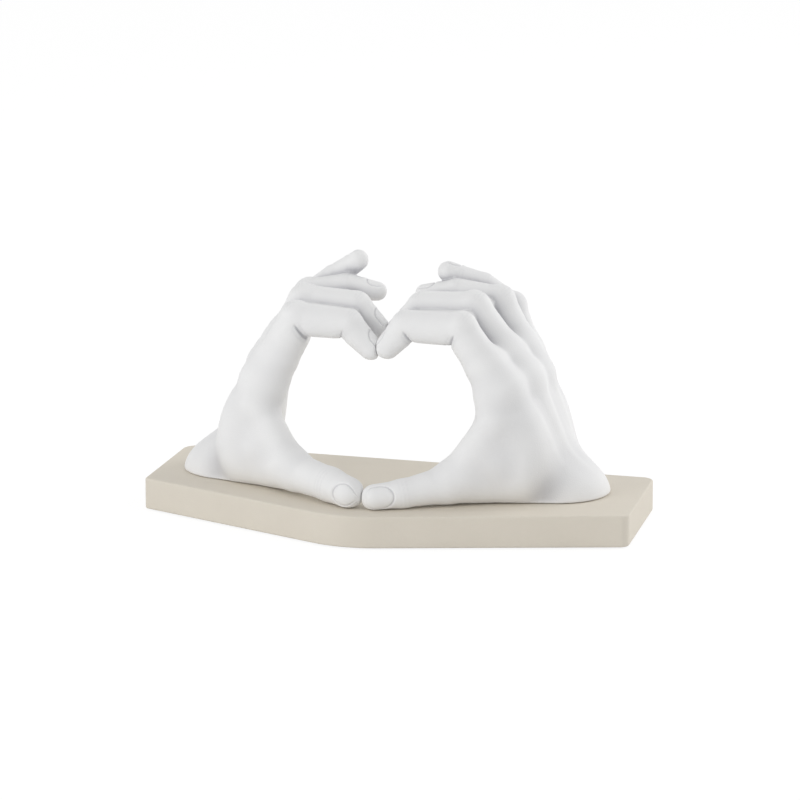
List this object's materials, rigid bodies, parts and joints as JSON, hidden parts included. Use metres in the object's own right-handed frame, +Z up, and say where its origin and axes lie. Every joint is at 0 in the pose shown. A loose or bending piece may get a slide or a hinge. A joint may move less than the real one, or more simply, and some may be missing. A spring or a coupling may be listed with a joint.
{
  "type": "hand sculpture",
  "caption": "Cast white hands whose thumbs and index fingers close a heart-shaped window, on an irregular five-sided matte plinth with felt pads.",
  "frame": {"origin": "centre of the footprint, on the plane that the object stands on", "axes": "+Z up; +X along the straight back edge, from the left hand to the right hand; +Y from the thumbs at the front to the little fingers at the back"},
  "size_m": [0.2456, 0.1142, 0.1255],
  "materials": {
    "cast_white": "matte cast resin with mineral filler",
    "plinth_lacquer": "matte lacquer over board",
    "steel": "zinc plated",
    "brass": "turned",
    "felt": "pressed felt"
  },
  "bodies": {
    "root": {"plinth": "plinth_lacquer", "left_hand": "cast_white", "right_hand": "cast_white", "left_heel_screw": "steel", "left_heel_washer": "steel", "left_heel_insert": "brass", "left_thumb_screw": "steel", "left_thumb_washer": "steel", "left_thumb_insert": "brass", "right_heel_screw": "steel", "right_heel_washer": "steel", "right_heel_insert": "brass", "right_thumb_screw": "steel", "right_thumb_washer": "steel", "right_thumb_insert": "brass", "pad_1": "felt", "pad_2": "felt", "pad_3": "felt", "pad_4": "felt", "pad_5": "felt"}
  },
  "joints": []
}
